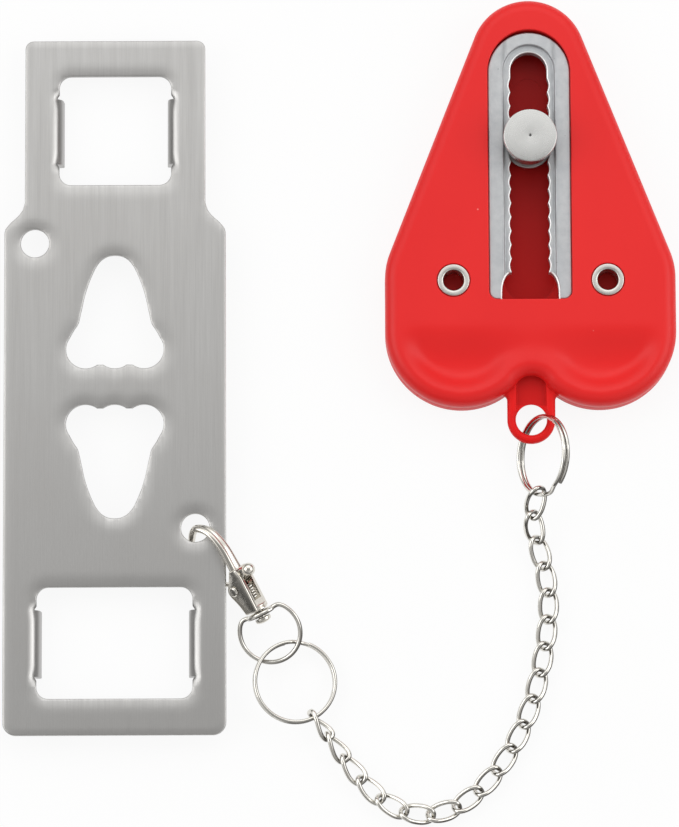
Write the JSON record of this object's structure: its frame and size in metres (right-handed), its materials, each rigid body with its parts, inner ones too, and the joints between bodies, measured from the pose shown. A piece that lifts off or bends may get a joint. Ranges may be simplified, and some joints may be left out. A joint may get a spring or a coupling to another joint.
{
  "type": "portable door lock",
  "caption": "Portable door lock: a notched strike plate that hooks into a door frame, tethered by a chain and swivel hook to a wedge body with a sliding knob.",
  "frame": {"origin": "the lock body's back face, under the knob's axis where the knob rests now", "axes": "X across the lock body, Y along its slot towards the narrow end, Z out of the face with the knob, away from the surface the set lies on"},
  "size_m": [0.1514, 0.1863, 0.0169],
  "materials": {
    "front_red": "moulded, satin gloss",
    "back_red": "moulded, satin",
    "cast_zinc": "as cast, lightly tumbled",
    "eyelet_plated": "nickel plated, satin",
    "turned_steel": "turned face, plated",
    "collar_steel": "turned, plated",
    "washer_steel": "stamped, plated",
    "ring_wire": "nickel plated wire",
    "link_wire": "nickel plated wire",
    "eye_nickel": "nickel plated",
    "hook_nickel": "nickel plated casting",
    "gate_nickel": "nickel plated",
    "rivet_nickel": "nickel plated",
    "spring_steel": "drawn wire",
    "plate_steel": "brushed lengthways, edges stamped"
  },
  "bodies": {
    "lock_body": {"front_shell": "front_red", "back_shell": "back_red", "slot_insert": "cast_zinc", "eyelet_left": "eyelet_plated", "eyelet_right": "eyelet_plated"},
    "slider": {"slide_collar": "collar_steel"},
    "knob": {"knob_stud": "turned_steel", "rear_washer": "washer_steel"},
    "tether_ring": {"body_ring": "ring_wire"},
    "link_01": {"link_01": "link_wire"},
    "link_02": {"link_02": "link_wire"},
    "link_03": {"link_03": "link_wire"},
    "link_04": {"link_04": "link_wire"},
    "link_05": {"link_05": "link_wire"},
    "link_06": {"link_06": "link_wire"},
    "link_07": {"link_07": "link_wire"},
    "link_08": {"link_08": "link_wire"},
    "link_09": {"link_09": "link_wire"},
    "link_10": {"link_10": "link_wire"},
    "link_11": {"link_11": "link_wire"},
    "link_12": {"link_12": "link_wire"},
    "link_13": {"link_13": "link_wire"},
    "link_14": {"link_14": "link_wire"},
    "link_15": {"link_15": "link_wire"},
    "link_16": {"link_16": "link_wire"},
    "link_17": {"link_17": "link_wire"},
    "link_18": {"link_18": "link_wire"},
    "link_19": {"link_19": "link_wire"},
    "link_20": {"link_20": "link_wire"},
    "large_ring": {"large_ring": "ring_wire"},
    "swivel_eye": {"swivel_eye": "eye_nickel"},
    "hook": {"hook_body": "hook_nickel", "gate_pivot": "rivet_nickel", "gate_spring": "spring_steel"},
    "gate": {"gate_lever": "gate_nickel"},
    "plate": {"strike_plate": "plate_steel"}
  },
  "joints": [
    {"name": "knob_slide", "type": "slide", "parent": "lock_body", "child": "slider", "axis": [0, 1, 0], "range_m": [-0.0304, 0.0161]},
    {"name": "knob_spin", "type": "hinge", "parent": "slider", "child": "knob", "pos_m": [0, 0, 0.008], "axis": [0, 0, 1], "continuous": true},
    {"name": "ring_swing", "type": "hinge", "parent": "lock_body", "child": "tether_ring", "pos_m": [0.0004, -0.0637, 0.0054], "axis": [0, 0, 1], "range_deg": [-25, 25]},
    {"name": "link_01_swing", "type": "hinge", "parent": "tether_ring", "child": "link_01", "pos_m": [0.00146, -0.07937, 0.00703], "axis": [0, 0, 1], "range_deg": [-15, 7.5]},
    {"name": "link_02_swing", "type": "hinge", "parent": "link_01", "child": "link_02", "pos_m": [-0.00005, -0.08461, 0.00434], "axis": [0, 0, -1], "range_deg": [-1, 34]},
    {"name": "link_03_swing", "type": "hinge", "parent": "link_02", "child": "link_03", "pos_m": [0.001, -0.08997, 0.00165], "axis": [0, 0, 1], "range_deg": [-33, 23]},
    {"name": "link_04_swing", "type": "hinge", "parent": "link_03", "child": "link_04", "pos_m": [0.00267, -0.09581, 0.00165], "axis": [0, 0, -1], "range_deg": [-35, 21]},
    {"name": "link_05_swing", "type": "hinge", "parent": "link_04", "child": "link_05", "pos_m": [0.00362, -0.10182, 0.00165], "axis": [0, 0, 1], "range_deg": [-18, 38]},
    {"name": "link_06_swing", "type": "hinge", "parent": "link_05", "child": "link_06", "pos_m": [0.00352, -0.1079, 0.00165], "axis": [0, 0, -1], "range_deg": [-34.5, 21.5]},
    {"name": "link_07_swing", "type": "hinge", "parent": "link_06", "child": "link_07", "pos_m": [0.00272, -0.11392, 0.00165], "axis": [0, 0, 1], "range_deg": [-24.5, 31.5]},
    {"name": "link_08_swing", "type": "hinge", "parent": "link_07", "child": "link_08", "pos_m": [0.00156, -0.11989, 0.00165], "axis": [0, 0, -1], "range_deg": [-32, 24]},
    {"name": "link_09_swing", "type": "hinge", "parent": "link_08", "child": "link_09", "pos_m": [-0.00001, -0.12576, 0.00165], "axis": [0, 0, 1], "range_deg": [-22.5, 33.5]},
    {"name": "link_10_swing", "type": "hinge", "parent": "link_09", "child": "link_10", "pos_m": [-0.00214, -0.13146, 0.00165], "axis": [0, 0, -1], "range_deg": [-34.5, 21.5]},
    {"name": "link_11_swing", "type": "hinge", "parent": "link_10", "child": "link_11", "pos_m": [-0.0049, -0.13688, 0.00165], "axis": [0, 0, 1], "range_deg": [-19, 35]},
    {"name": "link_12_swing", "type": "hinge", "parent": "link_11", "child": "link_12", "pos_m": [-0.0083, -0.14192, 0.00165], "axis": [0, 0, -1], "range_deg": [-36, 18]},
    {"name": "link_13_swing", "type": "hinge", "parent": "link_12", "child": "link_13", "pos_m": [-0.01237, -0.14644, 0.00165], "axis": [0, 0, 1], "range_deg": [-15.5, 40.5]},
    {"name": "link_14_swing", "type": "hinge", "parent": "link_13", "child": "link_14", "pos_m": [-0.01732, -0.14997, 0.00165], "axis": [0, 0, -1], "range_deg": [-47, 9]},
    {"name": "link_15_swing", "type": "hinge", "parent": "link_14", "child": "link_15", "pos_m": [-0.02315, -0.15169, 0.00165], "axis": [0, 0, 1], "range_deg": [-4.5, 51.5]},
    {"name": "link_16_swing", "type": "hinge", "parent": "link_15", "child": "link_16", "pos_m": [-0.02918, -0.15095, 0.00165], "axis": [0, 0, -1], "range_deg": [-50.5, 5.5]},
    {"name": "link_17_swing", "type": "hinge", "parent": "link_16", "child": "link_17", "pos_m": [-0.03447, -0.14796, 0.00165], "axis": [0, 0, 1], "range_deg": [-12, 44]},
    {"name": "link_18_swing", "type": "hinge", "parent": "link_17", "child": "link_18", "pos_m": [-0.03874, -0.14362, 0.00165], "axis": [0, 0, -1], "range_deg": [-35.5, 17]},
    {"name": "link_19_swing", "type": "hinge", "parent": "link_18", "child": "link_19", "pos_m": [-0.0424, -0.13877, 0.00165], "axis": [0, 0, 1], "range_deg": [-17, 29.5]},
    {"name": "link_20_swing", "type": "hinge", "parent": "link_19", "child": "link_20", "pos_m": [-0.04591, -0.13384, 0.0022], "axis": [0, 0, -1], "range_deg": [-22, 18]},
    {"name": "large_ring_swing", "type": "hinge", "parent": "link_20", "child": "large_ring", "pos_m": [-0.04956, -0.129, 0.00275], "axis": [0, 0, 1], "range_deg": [-19, 30]},
    {"name": "eye_swing", "type": "hinge", "parent": "large_ring", "child": "swivel_eye", "pos_m": [-0.05337, -0.1218, 0.00287], "axis": [0, 0, -1], "range_deg": [-14, 20]},
    {"name": "hook_swivel", "type": "hinge", "parent": "swivel_eye", "child": "hook", "pos_m": [-0.06144, -0.10574, 0.00504], "axis": [-0.4441, 0.8715, 0.2079], "range_deg": [-12, 12]},
    {"name": "gate_press", "type": "hinge", "parent": "hook", "child": "gate", "pos_m": [-0.06571, -0.10086, 0.00482], "axis": [0.5461, 0.4472, -0.7083], "range_deg": [0, 6], "stiffness_Nm_per_rad": 0.004, "springref_deg": -8.59, "deforming": ["gate_spring"]},
    {"name": "plate_swing", "type": "hinge", "parent": "hook", "child": "plate", "pos_m": [-0.07507, -0.08775, 0.00588], "axis": [0, 0, 1], "range_deg": [-20, 1]}
  ]
}
